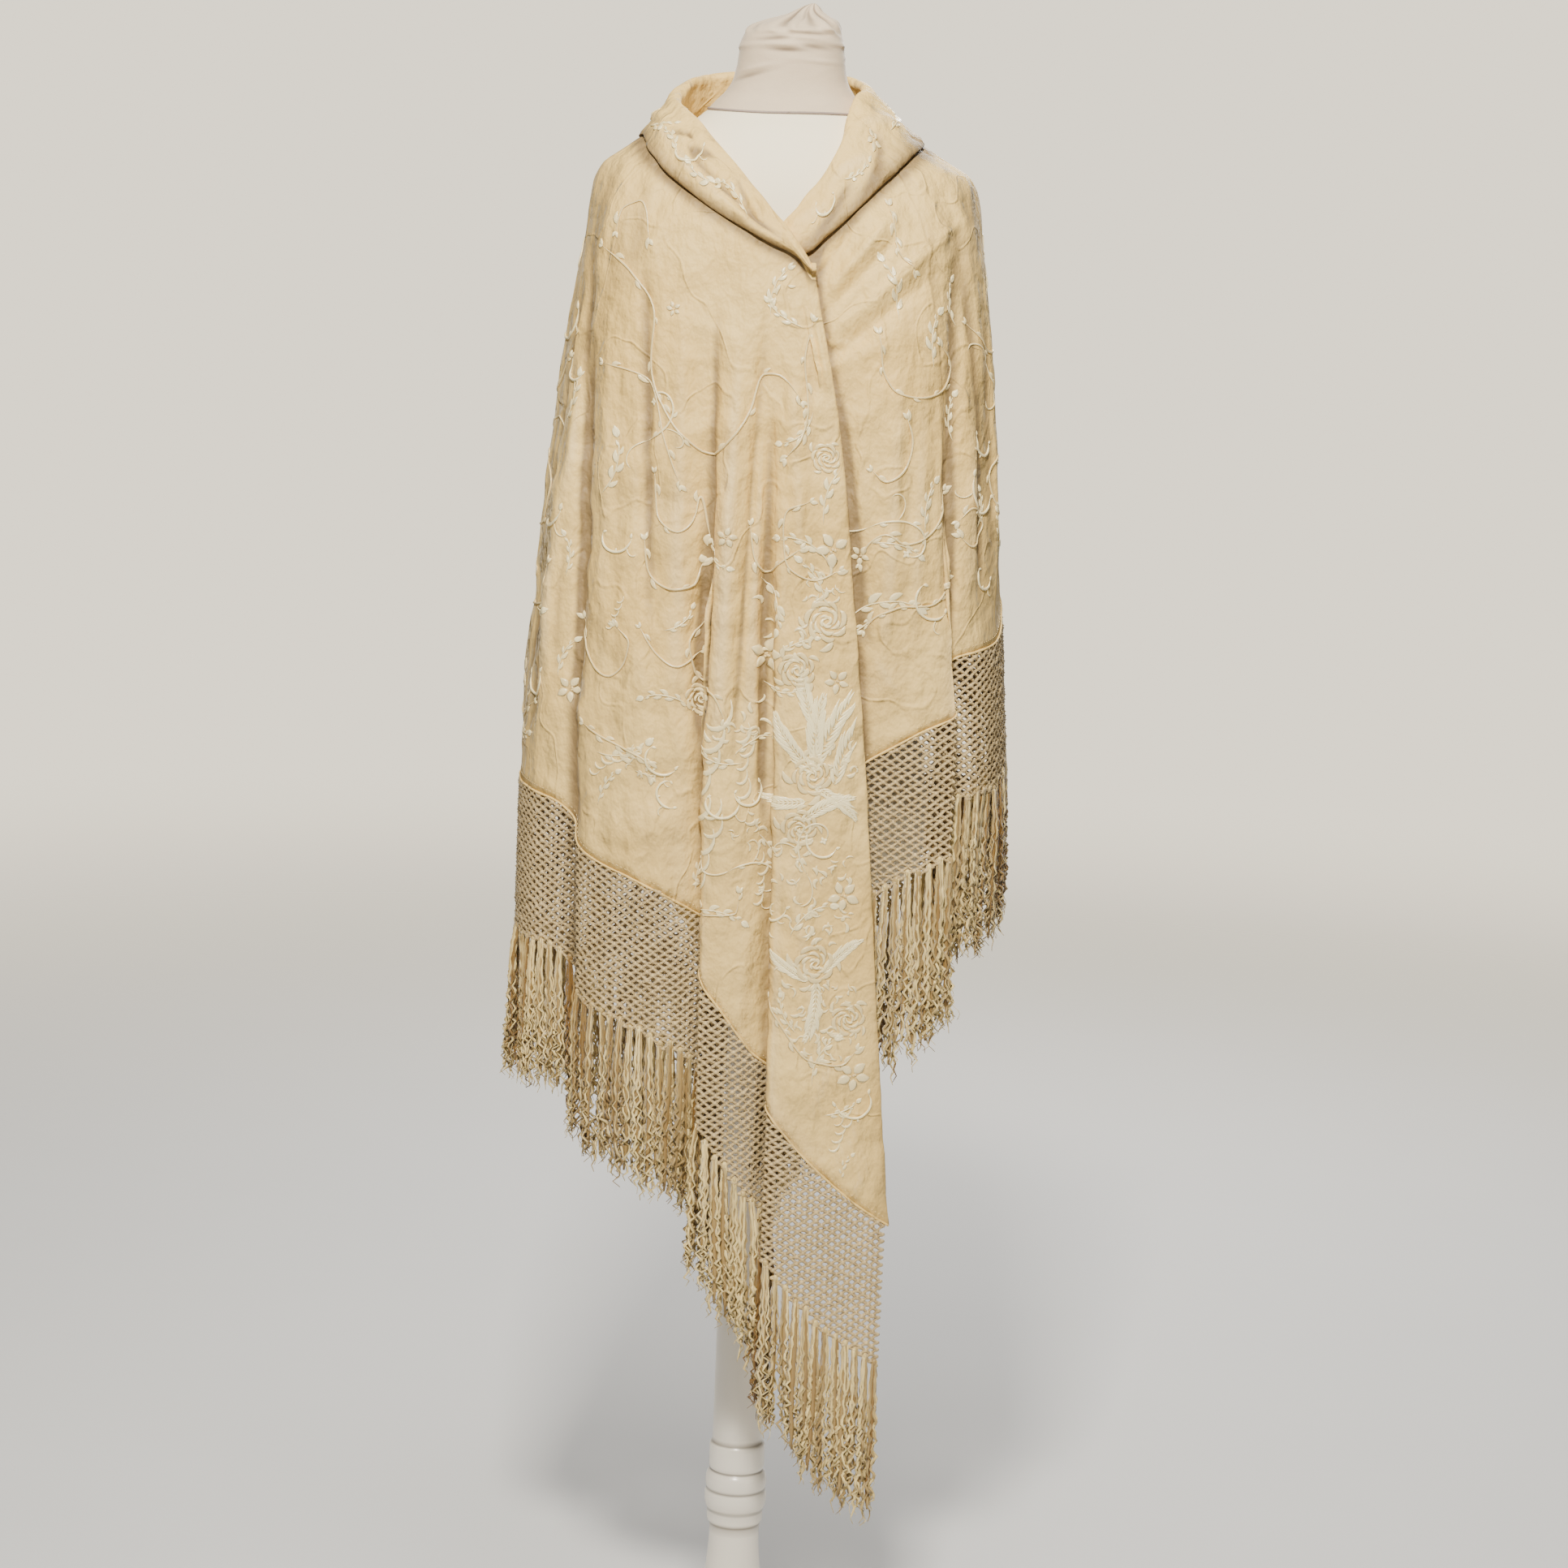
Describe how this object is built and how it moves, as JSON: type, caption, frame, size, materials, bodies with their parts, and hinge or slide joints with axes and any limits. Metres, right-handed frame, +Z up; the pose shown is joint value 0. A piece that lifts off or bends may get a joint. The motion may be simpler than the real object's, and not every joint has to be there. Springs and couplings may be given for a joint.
{
  "type": "piano shawl on a dress form",
  "caption": "Embroidered silk piano shawl folded on its diagonal and wrapped on a dress form, with a rolled collar, netted edge and long tassels, on a turned stand.",
  "frame": {"origin": "centre of the stand base's underside, on the floor", "axes": "+Z up, -Y towards the front of the shawl, +X to the viewer's right"},
  "size_m": [0.4846, 0.3496, 1.719],
  "materials": {
    "silk_crepe": "soft satin, with raised cream embroidery",
    "silk_thread": "lustrous knotted silk thread",
    "torso_cloth": "matt",
    "neck_cloth": "matt",
    "white_paint": "painted, semi-gloss"
  },
  "bodies": {
    "root": {"shawl_left_front": "silk_crepe", "shawl_right_front": "silk_crepe", "shawl_back": "silk_crepe", "shawl_collar": "silk_crepe", "net_left_front": "silk_thread", "net_back": "silk_thread", "net_right_front": "silk_thread", "fringe_left_front": "silk_thread", "fringe_back": "silk_thread", "fringe_right_front": "silk_thread", "form_torso": "torso_cloth", "form_neck_cover": "neck_cloth", "stand_column": "white_paint", "stand_base": "white_paint"}
  },
  "joints": []
}
